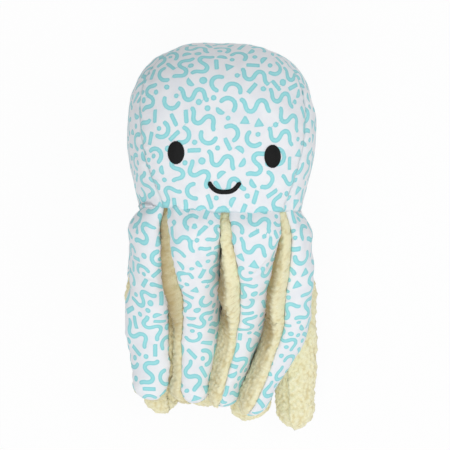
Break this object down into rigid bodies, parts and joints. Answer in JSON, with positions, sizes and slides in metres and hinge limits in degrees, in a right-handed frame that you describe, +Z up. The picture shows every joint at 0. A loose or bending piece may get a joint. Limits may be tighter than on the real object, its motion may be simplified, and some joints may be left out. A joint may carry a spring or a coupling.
{
  "type": "plush octopus dog toy",
  "caption": "Soft octopus dog toy with a stuffed printed head, a stitched smiling face and stuffed arms, printed outside and fleece inside",
  "frame": {"origin": "on the floor, under the middle of the toy as it lies on its back", "axes": "+Z is up and the way the face looks, +Y runs from the arms to the crown of the head, +X is on the right seen from the front"},
  "size_m": [0.145, 0.2922, 0.131],
  "materials": {
    "printed_cotton": "smooth woven cloth, white with an aqua print of small shapes",
    "sherpa_fleece": "curly cream sherpa fleece",
    "fibre_filling": "loose white polyester fibre",
    "black_thread": "black satin stitch",
    "squeaker_plastic": "soft milky plastic"
  },
  "bodies": {
    "root": {"head_front_panel": "printed_cotton", "head_right_panel": "printed_cotton", "head_back_panel": "printed_cotton", "head_left_panel": "printed_cotton", "head_base_panel": "printed_cotton", "head_filling": "fibre_filling", "squeaker": "squeaker_plastic", "eye_left": "black_thread", "eye_right": "black_thread", "mouth": "black_thread", "arm_1_print_panel": "printed_cotton", "arm_1_fleece_panel": "sherpa_fleece", "arm_1_filling": "fibre_filling", "arm_2_print_panel": "printed_cotton", "arm_2_fleece_panel": "sherpa_fleece", "arm_2_filling": "fibre_filling", "arm_3_print_panel": "printed_cotton", "arm_3_fleece_panel": "sherpa_fleece", "arm_3_filling": "fibre_filling", "arm_4_print_panel": "printed_cotton", "arm_4_fleece_panel": "sherpa_fleece", "arm_4_filling": "fibre_filling", "arm_5_print_panel": "printed_cotton", "arm_5_fleece_panel": "sherpa_fleece", "arm_5_filling": "fibre_filling", "arm_6_print_panel": "printed_cotton", "arm_6_fleece_panel": "sherpa_fleece", "arm_6_filling": "fibre_filling", "arm_7_print_panel": "printed_cotton", "arm_7_fleece_panel": "sherpa_fleece", "arm_7_filling": "fibre_filling", "arm_8_print_panel": "printed_cotton", "arm_8_fleece_panel": "sherpa_fleece", "arm_8_filling": "fibre_filling"}
  },
  "joints": []
}
